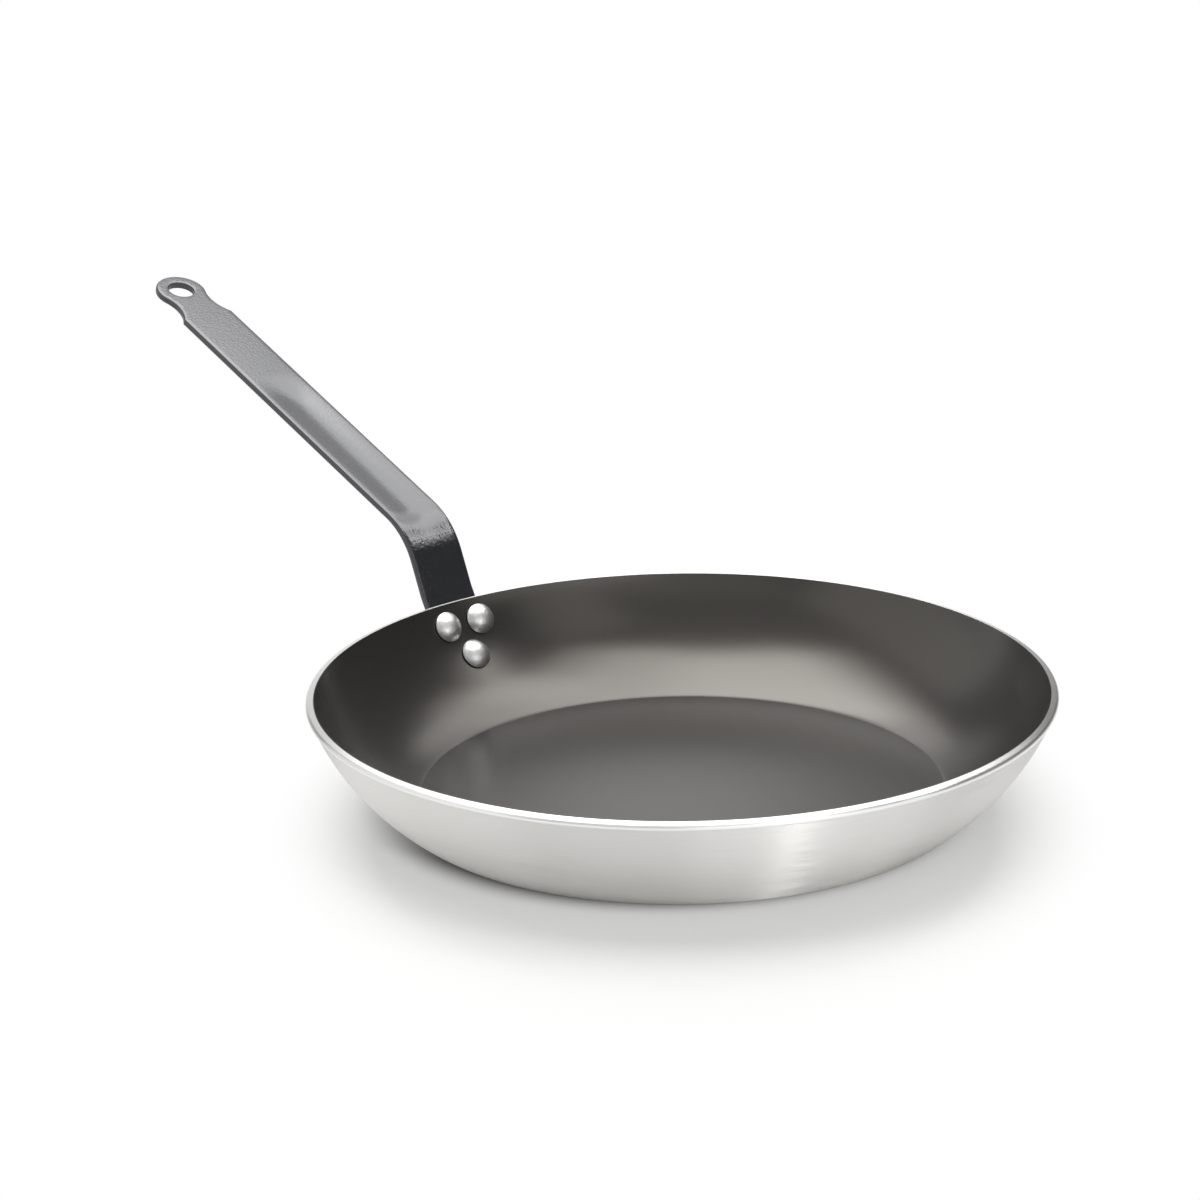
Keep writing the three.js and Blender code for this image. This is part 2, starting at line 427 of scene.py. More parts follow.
@dataclass(frozen=True)
class EvenSkin(Finish):
    """Sprayed, baked or cold-headed surface, whose fine skin is the same in every direction."""

    skin_size: float
    fleck_size: float
    metallic: float = 0.0
    ior: float = 1.5
    sheen: str = WHITE

    def material(self) -> bpy.types.Material:
        """Build the material.

        Returns:
            Material with a bumpy skin and slightly uneven tone.
        """
        material, tree = new_material(self.name)
        place = add_node(tree, "ShaderNodeTexCoord").outputs["Object"]
        smooth = {"Vector": place, "Scale": per_mm(self.skin_size), "Detail": 1.0, "Roughness": 0.5}
        skin = add_node(tree, "ShaderNodeTexNoise", smooth)
        mottled = {"Vector": place, "Scale": per_mm(self.fleck_size), "Detail": 3.0, "Roughness": 0.6}
        flecks = add_node(tree, "ShaderNodeTexNoise", mottled)
        lustre = {"Metallic": self.metallic, "IOR": self.ior, "Specular Tint": linear(self.sheen)}
        self.surface(tree, flecks, skin, lustre)
        return material


# Turned aluminium: its grooves draw highlights out up the wall and fray their edges.
TURNED_WALL = TurnedAluminium(
    name="turned_aluminium",
    colour="#EEEDEA",
    pale="#F8F7F5",
    roughness=0.42,
    roughness_spread=0.08,
    relief_depth=0.006,
    anisotropy=1.0,
    groove_wander=0.05,
)
# Turned and burnished aluminium: the bare lip draws the lamps out into one broad white line.
BURNISHED_LIP = TurnedAluminium(
    name="burnished_aluminium",
    colour="#F8F8F6",
    pale="#FDFDFB",
    roughness=0.32,
    roughness_spread=0.04,
    relief_depth=0.002,
    anisotropy=0.9,
)
# Sprayed PTFE: a dark satin skin that is dull seen square on and shines where it leans towards the lamp.
# Its skin is drawn coarser than the real spray, to show at all.
PTFE_LINING = EvenSkin(
    name="sprayed_ptfe",
    colour="#211F1D",
    pale="#282624",
    roughness=0.25,
    roughness_spread=0.03,
    relief_depth=0.012,
    skin_size=1.0,
    fleck_size=1.5,
    ior=1.83,
    sheen="#FFF9F0",
)
# The same spray on the flat floor, scoured by use, so that it mirrors less.
PTFE_FLOOR = replace(PTFE_LINING, name="scoured_ptfe", ior=1.52)
# Epoxy powder coat on steel: nearly black, semi-gloss, with the orange peel of a baked powder.
EPOXY_STEEL = EvenSkin(
    name="epoxy_coated_steel",
    colour="#202123",
    pale="#26272A",
    roughness=0.16,
    roughness_spread=0.03,
    relief_depth=0.034,
    skin_size=1.1,
    fleck_size=2.0,
    ior=1.9,
    sheen="#FBFBFF",
)
# Epoxy run together below the bend: thicker ripples that break up the edge of the lamp's reflection.
POOLED_EPOXY = replace(EPOXY_STEEL, name="pooled_epoxy", skin_size=1.4, relief_depth=0.09)
# Cold-headed aluminium: satin domes with a few shallow dents, so highlights have soft broken edges.
HEADED_ALUMINIUM = EvenSkin(
    name="cold_headed_aluminium",
    colour="#DCDCDA",
    pale="#EBEBE9",
    roughness=0.42,
    roughness_spread=0.1,
    relief_depth=0.1,
    skin_size=1.5,
    fleck_size=1.2,
    metallic=1.0,
)


# The object

@dataclass(frozen=True)
class PanShape:
    """Profile of the pan, shared by its body, its lining and what is riveted to it."""

    rim_radius: float
    rim_height: float
    lip_radius: float = 1.3
    lip_drop: float = 1.73
    lip_overhang: float = 1.0
    lip_width: float = 3.06
    wall_spread: float = 35
    wall_foot_slope: float = 35.5
    base_corner: float = 5
    floor_thickness: float = 4
    floor_inset: float = 6.6
    floor_edge_slope: float = 20.8
    floor_rings: tuple[float, ...] = (0, 0.25, 0.5, 0.75, 0.94, 0.995)  # shares of the floor's radius
    lining_thickness: float = 0.3
    lining_clearance: float = 0.02
    upper_rivet_drop: float = 8.3  # below the rim
    rivet_step: float = 11.4  # from the upper rivets down to the lower one

    @classmethod
    def from_frame(cls) -> "PanShape":
        """Take the rim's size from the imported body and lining.

        Returns:
            The pan's profile.
        """
        low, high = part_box("pan_body")
        _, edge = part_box("nonstick_coating")
        return cls(rim_radius=(high.x - low.x) / 2 / MM, rim_height=edge.z / MM)

    @property
    def base_radius(self) -> float:
        """Radius of the flat underside."""
        return self.rim_radius - self.wall_spread

    @property
    def lower_rivet_drop(self) -> float:
        """Distance of the lower rivet below the rim."""
        return self.upper_rivet_drop + self.rivet_step

    @property
    def corner(self) -> Arc:
        """Rounded corner between the underside and the wall."""
        centre = Vector((self.base_radius, self.base_corner))
        return Arc(centre, self.base_corner, 0.0, math.radians(self.wall_foot_slope))

    @property
    def lip(self) -> Arc:
        """Round the outer edge of the sheet.

        Returns:
            The arc up to where the lip's flat crown leaves for the lining.
        """
        centre = Vector((self.rim_radius - self.lip_radius, self.rim_height - self.lip_drop))
        start = math.asin((self.lip_radius - self.lip_overhang) / self.lip_radius)
        inner = self.lining_edge + self.lining_thickness * along(0.0) - centre
        lean = math.atan2(inner.y, inner.x) - math.acos(self.lip_radius / inner.length)
        return Arc(centre, self.lip_radius, start, lean + math.pi / 2)

    @property
    def lining_edge(self) -> Vector:
        """Upper edge of the lining."""
        return Vector((self.rim_radius - self.lip_width, self.rim_height))

    @property
    def outer_wall(self) -> Arc:
        """Outside of the wall, from the corner up to the lip."""
        corner = self.corner
        return Arc.through(corner.at(corner.end), corner.end, self.lip.at(self.lip.start))

    @property
    def inner_wall(self) -> Arc:
        """Lined side of the wall, from the floor's edge up to the lip."""
        foot = Vector((self.base_radius - self.floor_inset, self.floor_thickness))
        return Arc.through(foot, math.radians(self.floor_edge_slope), self.lining_edge)

    def inside(self, depth: float, steps: int) -> list[Vector]:
        """Run from the pan's axis over the floor and up the inner wall.

        Args:
            depth: Distance below the lined surface.
            steps: Number of steps up the wall.

        Returns:
            Points of radius and height.
        """
        wall = self.inner_wall
        height = self.floor_thickness - depth
        stretch = Arc(wall.centre, wall.radius, wall.slope_at(height, depth), wall.end)
        edge = stretch.at(stretch.start, depth).x
        floor = [Vector((edge * share, height)) for share in self.floor_rings]
        return floor + stretch.points(steps, depth)


@dataclass
class Pan:
    """Pressed body and its sprayed lining."""

    shape: PanShape
    segments: int = 320
    base_rings: tuple[float, ...] = (0, 0.25, 0.5, 0.75, 0.97)  # shares of the underside's radius
    corner_steps: int = 6
    wall_steps: int = 28
    lip_foot_steps: int = 3
    lip_steps: int = 18
    groove_below_lip: float = 3.2
    groove_width: float = 0.6
    groove_depth: float = 0.03

    def outside(self) -> list[Vector]:
        """Run from the middle of the underside up the outer wall, with the turned groove below the lip.

        Returns:
            Points of radius and height.
        """
        wall = self.shape.outer_wall
        groove = wall.end - self.groove_below_lip / wall.radius
        half = self.groove_width / 2 / wall.radius
        below = Arc(wall.centre, wall.radius, wall.start, groove - half)
        above = Arc(wall.centre, wall.radius, groove + half, wall.end)
        return [
            *[Vector((self.shape.base_radius * share, 0)) for share in self.base_rings],
            *self.shape.corner.points(self.corner_steps),
            *below.points(self.wall_steps)[1:],
            wall.at(groove, -self.groove_depth),
            *above.points(self.lip_foot_steps),
        ]

    def build(self, holes: Callable[[], list[bpy.types.Object]]) -> None:
        """Build and dress the body and the lining.

        Args:
            holes: Gives fresh solids of the rivet holes.
        """
        shape = self.shape
        under_lining = shape.inside(shape.lining_thickness + shape.lining_clearance, self.wall_steps)
        body_profile = [*self.outside(), *shape.lip.points(self.lip_steps)[1:], *reversed(under_lining)]
        body = turned_object("pan_body_fine", body_profile, self.segments, Matrix.Identity(4))
        cut(body, holes())
        self.dress_body(body)
        settle(body, "pan_body")

        lower = shape.inside(shape.lining_thickness, self.wall_steps)
        upper = shape.inside(0.0, self.wall_steps)
        lining = turned_object("lining_fine", [*lower, *reversed(upper)], self.segments, Matrix.Identity(4))
        cut(lining, holes())
        self.dress_lining(lining)
        settle(lining, "nonstick_coating")

    def dress_body(self, body: bpy.types.Object) -> None:
        """Give the wall its turned finish and the lip its polish.

        Args:
            body: Pan body.
        """
        body.data.materials.append(TURNED_WALL.material())
        body.data.materials.append(BURNISHED_LIP.material())
        lip_foot = self.shape.lip.at(self.shape.lip.start).y * MM
        lip_inside = self.shape.lining_edge.x * MM
        for face in body.data.polygons:
            on_lip = face.center.z > lip_foot and face.center.xy.length > lip_inside
            face.material_index = int(on_lip)

    def dress_lining(self, lining: bpy.types.Object) -> None:
        """Give the lining's wall a satin finish and its floor a duller one.

        Args:
            lining: Lining of the pan.
        """
        lining.data.materials.append(PTFE_LINING.material())
        lining.data.materials.append(PTFE_FLOOR.material())
        floor_edge = self.shape.inner_wall.at(self.shape.inner_wall.start).x * MM
        for face in lining.data.polygons:
            face.material_index = int(face.center.xy.length < floor_edge)


@dataclass(frozen=True)
class StripPath:
    """Line of the strip's upper face, with the length and the turn of each stretch."""

    start: Vector
    start_slope: float
    stretches: dict[Stretch, tuple[float, float]]

    def end_of(self, last: Stretch) -> float:
        """Distance along the line at which a stretch ends."""
        return sum(length for stretch, (length, _) in self.stretches.items() if stretch <= last)

    def at(self, distance: float) -> tuple[Vector, float]:
        """Follow the line.

        Args:
            distance: Distance from the start of the line.

        Returns:
            Point of radius and height, and the slope there.
        """
        point, slope = self.start, self.start_slope
        for length, turn in self.stretches.values():
            part = min(distance, length)
            swing = turn * part / length
            if abs(turn) < TINY:
                point = point + part * along(slope)
            else:
                point = point + length / turn * (outward(slope + swing) - outward(slope))
            slope += swing
            distance -= part
            if distance <= 0:
                break
        return point, slope


@dataclass
class Handle:
    """Steel strip, bent once, with a riveted flange at one end and a lug with a hanging eye at the other."""

    shape: PanShape
    width: float = 24.15
    thickness: float = 3.0
    clearance: float = 0.3
    stretch_slope: float = 66.7
    stretch_length: float = 13.5
    rim_bend_radius: float = 100
    grip_bend_radius: float = 31
    grip_slope: float = 21.15
    grip_length: float = 172.9
    lug_radius: float = 10.8
    lug_waist: float = 1.9
    neck_radius: float = 19.3
    eye_radius: float = 5.55
    flange_margin: float = 7
    flange_tail: float = 13.1
    edge_radius: float = 0.85
    eye_edge_radius: float = 0.5
    edge_steps: int = 5
    spacing: float = 1.1
    dish: float = 0.68
    dish_ends: tuple[float, float] = (0, 103)
    dish_fade: tuple[float, float] = (22, 22)
    pool_share: float = 0.36  # how far up the bend the thicker coating reaches
    halvings: int = 40  # rounds in which a rivet's place on the strip is narrowed down
    path: StripPath = field(init=False)

    def __post_init__(self) -> None:
        """Lay the strip's line on the wall, past the lip and up to the lug."""
        wall, lip = self.shape.outer_wall, self.shape.lip
        radius = wall.radius + self.clearance
        lip_clear = lip.radius + self.clearance
        to_lip = lip.centre - wall.centre
        lean = math.acos((radius - lip_clear) / to_lip.length)
        leave = math.atan2(to_lip.y, to_lip.x) - lean + math.pi / 2
        lower_rivet = self.shape.inner_wall.slope_at(self.shape.rim_height - self.shape.lower_rivet_drop)
        foot = lower_rivet - self.flange_tail / wall.radius
        stretch, grip = math.radians(self.stretch_slope), math.radians(self.grip_slope)
        self.path = StripPath(
            Arc(wall.centre, radius, foot, leave).at(foot),
            foot,
            {
                Stretch.FLANGE: (radius * (leave - foot), leave - foot),
                Stretch.PAST_LIP: (math.sqrt(to_lip.length_squared - (radius - lip_clear) ** 2), 0.0),
                Stretch.RIM_BEND: (self.rim_bend_radius * abs(stretch - leave), stretch - leave),
                Stretch.RISE: (self.stretch_length, 0.0),
                Stretch.GRIP_BEND: (self.grip_bend_radius * abs(grip - stretch), grip - stretch),
                Stretch.GRIP: (self.grip_length, 0.0),
                Stretch.LUG: (2 * self.lug_radius, 0.0),
            },
        )

    @property
    def eye_along(self) -> float:
        """Distance of the eye along the strip."""
        return self.path.end_of(Stretch.GRIP)

    def place(self, across: float, distance: float, depth: float) -> Vector:
        """Bend a point of the flat strip on to its line.

        Args:
            across: Distance from the strip's middle line.
            distance: Distance along the strip.
            depth: Distance below its upper face.

        Returns:
            The point in the frame of the part.
        """
        point, slope = self.path.at(distance)
        flat = point + (depth + self.dish_depth(across, distance)) * outward(slope)
        start, end = self.path.end_of(Stretch.PAST_LIP), self.path.end_of(Stretch.RIM_BEND)
        hug = 1 - smooth_step((distance - start) / (end - start))
        roundness = flat.x - math.sqrt(flat.x**2 - across**2)
        return Vector((flat.x - hug * roundness, across, flat.y))

    def dish_depth(self, across: float, distance: float) -> float:
        """Depth of the shallow dish that rolling leaves along the grip.

        Args:
            across: Distance from the strip's middle line.
            distance: Distance along the strip.

        Returns:
            Distance below the flat face.
        """
        grip = distance - self.path.end_of(Stretch.GRIP_BEND)
        rise = smooth_step((grip - self.dish_ends[0]) / self.dish_fade[0] + 1)
        fall = smooth_step((self.dish_ends[1] - grip) / self.dish_fade[1])
        hollow = (1 + math.cos(FULL_TURN * across / self.width)) / 2
        return self.dish * rise * fall * hollow

    def crossing(self, start: Vector, direction: Vector) -> tuple[float, float]:
        """Find where a line in the handle's upright plane crosses the middle of the strip.

        Args:
            start: Point of radius and height on the line.
            direction: Direction of the line.

        Returns:
            Distance along the strip, and distance along the line to the strip's outer face.
        """
        low, high = 0.0, self.path.end_of(Stretch.RIM_BEND)
        for _ in range(self.halvings):
            middle = (low + high) / 2
            point, slope = self.path.at(middle)
            gap = point + self.thickness / 2 * outward(slope) - start
            if direction.x * gap.y - direction.y * gap.x > 0:
                high = middle
            else:
                low = middle
        return low, gap.dot(direction) + self.thickness / 2

    def outline(self, lower: float, upper: float, half_spacing: float) -> list[Vector]:
        """Draw the flat strip's outline, anticlockwise.

        Args:
            lower: Distance of the lower rivet along the strip.
            upper: Distance of the upper rivets along the strip.
            half_spacing: Distance of an upper rivet from the middle line.

        Returns:
            Points across and along the strip.
        """
        side, margin = self.width / 2, self.flange_margin
        tilt = math.atan2(half_spacing, upper - lower)
        join = math.acos((side - half_spacing) / margin)
        neck_rise = self.lug_radius - self.lug_waist + self.neck_radius
        neck_back = math.sqrt((self.lug_radius + self.neck_radius) ** 2 - neck_rise**2)
        neck_end = math.atan2(neck_back, neck_rise)
        shoulder = math.acos((neck_rise - side) / self.neck_radius)
        neck = Vector((neck_rise, self.eye_along - neck_back))
        step = self.spacing
        right = round_points(Vector((0, lower)), margin, -math.pi / 2, -tilt, step)
        right += round_points(Vector((half_spacing, upper)), margin, -tilt, join, step)
        first, last = right[-1].y, neck.y - self.neck_radius * math.sin(shoulder)
        count = math.ceil((last - first) / step)
        right += [Vector((side, first + (last - first) * i / count)) for i in range(1, count)]
        right += round_points(neck, self.neck_radius, math.pi + shoulder, math.pi - neck_end, step)
        lug = round_points(Vector((0, self.eye_along)), self.lug_radius, -neck_end, math.pi / 2, step)
        right += lug[1:]
        return right + [Vector((-p.x, p.y)) for p in reversed(right[1:-1])]

    def ring(self, centre: Vector, radius: float) -> list[Vector]:
        """Outline of a round hole, with the sheet on its left."""
        return round_points(centre, radius, FULL_TURN, 0.0, self.spacing / 2)[:-1]

    def build(self, rivets: "Rivets") -> None:
        """Build and dress the strip.

        Args:
            rivets: Rivets that pass through its flange.
        """
        lower = rivets.along_strip(self.shape.lower_rivet_drop)
        upper = rivets.along_strip(self.shape.upper_rivet_drop)
        sheet = StripSheet(self.thickness)
        outline = self.outline(lower, upper, rivets.spacing / 2)
        rim = sheet.rounded_edge(outline, self.edge_radius, self.edge_steps)
        eye = self.ring(Vector((0, self.eye_along)), self.eye_radius)
        holes = [sheet.rounded_edge(eye, self.eye_edge_radius, self.edge_steps)]
        for _, across, drop in rivets.all_places():
            edge = self.ring(Vector((across, rivets.along_strip(drop))), rivets.hole_radius)
            holes.append(sheet.rounded_edge(edge, radius=0.0, steps=1))
        sheet.fill(rim, holes, self.spacing)
        points = [self.place(*point) for point in sheet.points]
        piece = new_object("handle_fine", points, sheet.faces)
        self.dress(piece)
        settle(piece, "handle")

    def dress(self, strip: bpy.types.Object) -> None:
        """Coat the strip, more thickly below the bend.

        Args:
            strip: Bent strip.
        """
        strip.data.materials.append(EPOXY_STEEL.material())
        strip.data.materials.append(POOLED_EPOXY.material())
        start, end = self.path.end_of(Stretch.RISE), self.path.end_of(Stretch.GRIP_BEND)
        pool_end, _ = self.path.at(start + self.pool_share * (end - start))
        for face in strip.data.polygons:
            face.material_index = int(face.center.x < pool_end.x * MM)


# Point numbers of an edge on the upper and on the lower face of a sheet.
EdgeRows = tuple[list[int], list[int]]


@dataclass
class StripSheet:
    """Flat sheet with rounded edges, as points across, along and below its upper face, and faces."""

    thickness: float
    grid_gap: float = 0.7  # least distance from a grid point to an edge, as a share of the grid's step
    points: list[Vector] = field(default_factory=list)
    faces: list[list[int]] = field(default_factory=list)

    def add_loop(self, loop: Sequence[Vector], depth: float) -> list[int]:
        """Add a row of points at a depth.

        Args:
            loop: Points across and along.
            depth: Distance below the upper face.

        Returns:
            Numbers of the new points.
        """
        first = len(self.points)
        self.points += [Vector((p.x, p.y, depth)) for p in loop]
        return list(range(first, len(self.points)))

    def rounded_edge(self, loop: Sequence[Vector], radius: float, steps: int) -> EdgeRows:
        """Add the rounded edge of an outline or a hole.

        Args:
            loop: Widest outline, with the sheet on its left.
            radius: Radius of the rounding at both faces.
            steps: Number of steps in each rounding.

        Returns:
            The edge's rows on the upper and the lower face.
        """
        inward = []
        for before, here, after in zip([loop[-1], *loop[:-1]], loop, [*loop[1:], loop[0]]):
            first, second = (here - before).normalized(), (after - here).normalized()
            normals = Vector((-first.y, first.x)), Vector((-second.y, second.x))
            inward.append((normals[0] + normals[1]) / (1 + normals[0].dot(normals[1])))
        rows = []
        for lower in (False, True):
            for i in range(steps + 1):
                turn = math.pi / 2 * (i if lower else steps - i) / steps
                inset, depth = radius * (1 - math.cos(turn)), radius * (1 - math.sin(turn))
                moved = [p + inset * n for p, n in zip(loop, inward)]
                rows.append(self.add_loop(moved, self.thickness - depth if lower else depth))
                if radius == 0.0:
                    break
        for upper, under in zip(rows, rows[1:]):
            for i in range(len(loop)):
                j = (i + 1) % len(loop)
                self.faces.append([upper[i], upper[j], under[j], under[i]])
        return rows[0], rows[-1]

    def middle(self, numbers: Sequence[int]) -> Vector:
        """Middle of some points, across and along."""
        return sum((self.points[n].xy for n in numbers), Vector((0, 0))) / len(numbers)

    def grid(self, edge: Sequence[Vector], step: float) -> list[Vector]:
        """Lay a grid over the box of the edges, clear of the edges themselves.

        Args:
            edge: Points of all the edges.
            step: Distance between the points of the grid.

        Returns:
            Points across and along.
        """
        near = KDTree(len(edge))
        for i, p in enumerate(edge):
            near.insert(p.to_3d(), i)
        near.balance()
        across = max(p.x for p in edge)
        start, end = min(p.y for p in edge), max(p.y for p in edge)
        columns, lines = math.ceil(2 * across / step), math.ceil((end - start) / step)
        inner = []
        for i in range(1, lines):
            for j in range(1, columns):
                p = Vector((across * (2 * j / columns - 1), start + (end - start) * i / lines))
                _, _, gap = near.find(p.to_3d())
                if gap > self.grid_gap * step:
                    inner.append(p)
        return inner

    def fill(self, rim: EdgeRows, holes: Sequence[EdgeRows], step: float) -> None:
        """Fill the upper and the lower face between the outline and the holes.

        Args:
            rim: Rows of the outline on both faces.
            holes: Rows of each hole on both faces.
            step: Distance between the points laid inside.
        """
        loops = [rim, *holes]
        for side in (0, 1):
            numbers = [n for loop in loops for n in loop[side]]
            flat = [self.points[n].xy for n in numbers]
            edges, first = [], 0
            for loop in loops:
                count = len(loop[side])
                edges += [(first + i, first + (i + 1) % count) for i in range(count)]
                first += count
            inner = self.grid(flat, step)
            numbers += self.add_loop(inner, self.points[numbers[0]].z)
            _, _, triangles, sources, _, _ = delaunay_2d_cdt(flat + inner, edges, [], FILL_INSIDE, TINY)
            centres = [self.middle(hole[side]) for hole in holes]
            reaches = [(self.points[hole[side][0]].xy - c).length for hole, c in zip(holes, centres)]
            for triangle in triangles:
                corners = [numbers[sources[i][0]] for i in triangle]
                middle = self.middle(corners)
                if all((middle - c).length > reach for c, reach in zip(centres, reaches)):
                    self.faces.append(corners)


@dataclass
class Rivets:
    """Three domed rivets that hold the strip on the wall."""

    shape: PanShape
    handle: Handle
    spacing: float = 16.1
    head_radius: float = 6.1
    head_height: float = 3.5
    head_rim: float = 0.35
    shank_radius: float = 2.5
    shank_clearance: float = 0.25
    formed_radius: float = 4.5
    formed_height: float = 2.2
    seat_clearance: float = 0.25
    segments: int = 72
    dome_steps: int = 18
    formed_steps: int = 10

    @property
    def hole_radius(self) -> float:
        """Radius of the hole round a shank."""
        return self.shank_radius + self.shank_clearance

    def all_places(self) -> list[tuple[str, float, float]]:
        """List the rivets.

        Returns:
            Node name, distance from the handle's middle line and drop below the rim of each rivet.
        """
        half, upper, lower = self.spacing / 2, self.shape.upper_rivet_drop, self.shape.lower_rivet_drop
        return [("rivet_left", half, upper), ("rivet_right", -half, upper), ("rivet_lower", 0.0, lower)]

    def seat(self, drop: float) -> tuple[Vector, Vector]:
        """Find where a rivet's axis leaves the lined wall.

        Args:
            drop: Distance below the rim.

        Returns:
            Point and direction of the axis, in radius and height.
        """
        wall = self.shape.inner_wall
        slope = wall.slope_at(self.shape.rim_height - drop)
        return wall.at(slope), outward(slope)

    def along_strip(self, drop: float) -> float:
        """Distance along the strip of a rivet at a drop below the rim."""
        return self.handle.crossing(*self.seat(drop))[0]

    def axis(self, across: float, drop: float) -> tuple[Matrix, float]:
        """Find the frame of a rivet.

        Args:
            across: Distance from the handle's middle line.
            drop: Distance below the rim.

        Returns:
            Frame whose Z axis points out through the wall, and the distance to the strip's outer face.
        """
        point, direction = self.seat(drop)
        turn = Matrix.Rotation(math.asin(across / point.x), 4, "Z")
        aim = Vector((direction.x, 0, direction.y)).to_track_quat("Z", "Y").to_matrix().to_4x4()
        length = self.handle.crossing(point, direction)[1]
        return turn @ Matrix.Translation((point.x, 0, point.y)) @ aim, length

    def holes(self) -> list[bpy.types.Object]:
        """Make solids of the holes round the shanks.

        Returns:
            One solid for each rivet.
        """
        solids = []
        for name, across, drop in self.all_places():
            place, length = self.axis(across, drop)
            ends = [(0, -self.head_height), (self.hole_radius, -self.head_height)]
            ends += [(self.hole_radius, length), (0, length)]
            solids.append(turned_object(name + "_hole", [Vector(p) for p in ends], self.segments, place))
        return solids

    def profile(self, length: float) -> list[Vector]:
        """Draw half of a rivet, from the top of its dome to the end of its formed head.

        Args:
            length: Distance from the lined wall to the strip's outer face.

        Returns:
            Points of radius and distance from the lined wall.
        """
        seat = -(self.head_radius**2 / (2 * self.shape.inner_wall.radius) + self.seat_clearance)
        crown = self.head_height - self.head_rim
        sphere = (self.head_radius**2 + crown**2) / (2 * crown)
        foot = math.asin(self.head_radius / sphere)
        dome = Arc(Vector((0, seat - self.head_height + sphere)), sphere, 0.0, foot)
        bevel = self.head_rim / 3
        formed = length + self.seat_clearance
        top = Arc(Vector((0, formed)), self.formed_radius, math.pi / 2, math.pi)
        rise = self.formed_height / self.formed_radius
        return [
            *dome.points(self.dome_steps),
            Vector((self.head_radius, seat - bevel)),
            Vector((self.head_radius - bevel, seat)),
            Vector((self.shank_radius, seat)),
            Vector((self.shank_radius, formed)),
            *[Vector((max(p.x, 0.0), formed + (p.y - formed) * rise)) for p in top.points(self.formed_steps)],
        ]

    def build(self) -> None:
        """Build and dress the rivets."""
        finish = HEADED_ALUMINIUM.material()
        for name, across, drop in self.all_places():
            place, length = self.axis(across, drop)
            piece = turned_object(name + "_fine", self.profile(length), self.segments, place)
            piece.data.materials.append(finish)
            settle(piece, name)


# Studio

@dataclass(frozen=True)
class PhotoCamera:
    """Long lens that looks at the pan from above, over its front."""

    azimuth: float = -130.7
    elevation: float = 21.234
    distance: float = 1381.1
    swing: float = -1.257
    tilt: float = 3.056
    roll: float = -0.669
    focal_pixels: float = 3657.5
    image_pixels: float = 1200
    sensor: float = 36
    nearest: float = 50
    farthest: float = 50000

    @property
    def turn(self) -> Matrix:
        """Turn from the camera's own right, away and up to the frame of the part."""
        return Matrix.Rotation(math.radians(self.azimuth), 4, "Z")

    def build(self) -> None:
        """Set the camera up and make it the scene's own."""
        data = bpy.data.cameras.new("photo_camera")
        data.sensor_width = self.sensor
        data.lens = self.focal_pixels / self.image_pixels * self.sensor
        data.clip_start, data.clip_end = self.nearest * MM, self.farthest * MM
        camera = bpy.data.objects.new("photo_camera", data)
        bpy.context.scene.collection.objects.link(camera)
        rise = math.radians(self.elevation)
        aim = Matrix.Rotation(math.radians(90 - self.elevation + self.tilt), 4, "X")
        swing = Matrix.Rotation(-math.radians(self.swing), 4, "Y")
        roll = Matrix.Rotation(math.radians(self.roll), 4, "Z")
        place = Matrix.Translation(Vector((0, -math.cos(rise), math.sin(rise))) * self.distance * MM)
        camera.matrix_world = self.turn @ place @ aim @ swing @ roll
        bpy.context.scene.camera = camera


@dataclass(frozen=True)
class Softbox:
    """Rectangular lamp, placed to the right of, away from and above the pan as the camera sees it."""

    name: str
    place: tuple[float, float, float]
    size: tuple[float, float]
    level: float
    aim: tuple[float, float, float] | None = None  # straight down where it isn't given

    def hang(self, turn: Matrix) -> None:
        """Hang the lamp.

        Args:
            turn: Turn from the camera's view to the frame of the part.
        """
        data = bpy.data.lights.new(self.name, "AREA")
        data.shape = "RECTANGLE"
        data.size, data.size_y = self.size[0] * MM, self.size[1] * MM
        data.energy = self.level * math.pi * data.size * data.size_y
        lamp = bpy.data.objects.new(self.name, data)
        bpy.context.scene.collection.objects.link(lamp)
        right, away, _ = self.place
        place, aim = Vector(self.place) * MM, Vector(self.aim or (right, away, 0)) * MM
        facing = (aim - place).to_track_quat("-Z", "Y").to_matrix().to_4x4()
        lamp.matrix_world = turn @ Matrix.Translation(place) @ facing


@dataclass(frozen=True)
class FloorZone:
    """Round zone of the floor in which a level is graded from the middle outwards."""

    middle: tuple[float, float]  # right and away of the pan's middle
    reach: tuple[float, float]
    levels: tuple[float, float] = (0.0, 1.0)
    narrowing: float = 1.0  # how many times sooner the grading ends to the right and left

    def level(self, tree: bpy.types.NodeTree, place: bpy.types.NodeSocket) -> bpy.types.Node:
        """Grade the level at a place.

        Args:
            tree: Node tree of the floor.
            place: Socket of the place on the floor.

        Returns:
            Node of the level.
        """
        right, away = self.middle
        shift = (-right * self.narrowing * MM, -away * MM, 0)
        squeeze = {"Vector": place, "Location": shift, "Scale": (self.narrowing, 1, 1)}
        offset = add_node(tree, "ShaderNodeMapping", squeeze)
        distance = add_node(tree, "ShaderNodeVectorMath", {0: offset}, operation="LENGTH").outputs["Value"]
        grading = graded(distance, (self.reach[0] * MM, self.reach[1] * MM), self.levels)
        return add_node(tree, "ShaderNodeMapRange", grading, interpolation_type="SMOOTHSTEP")


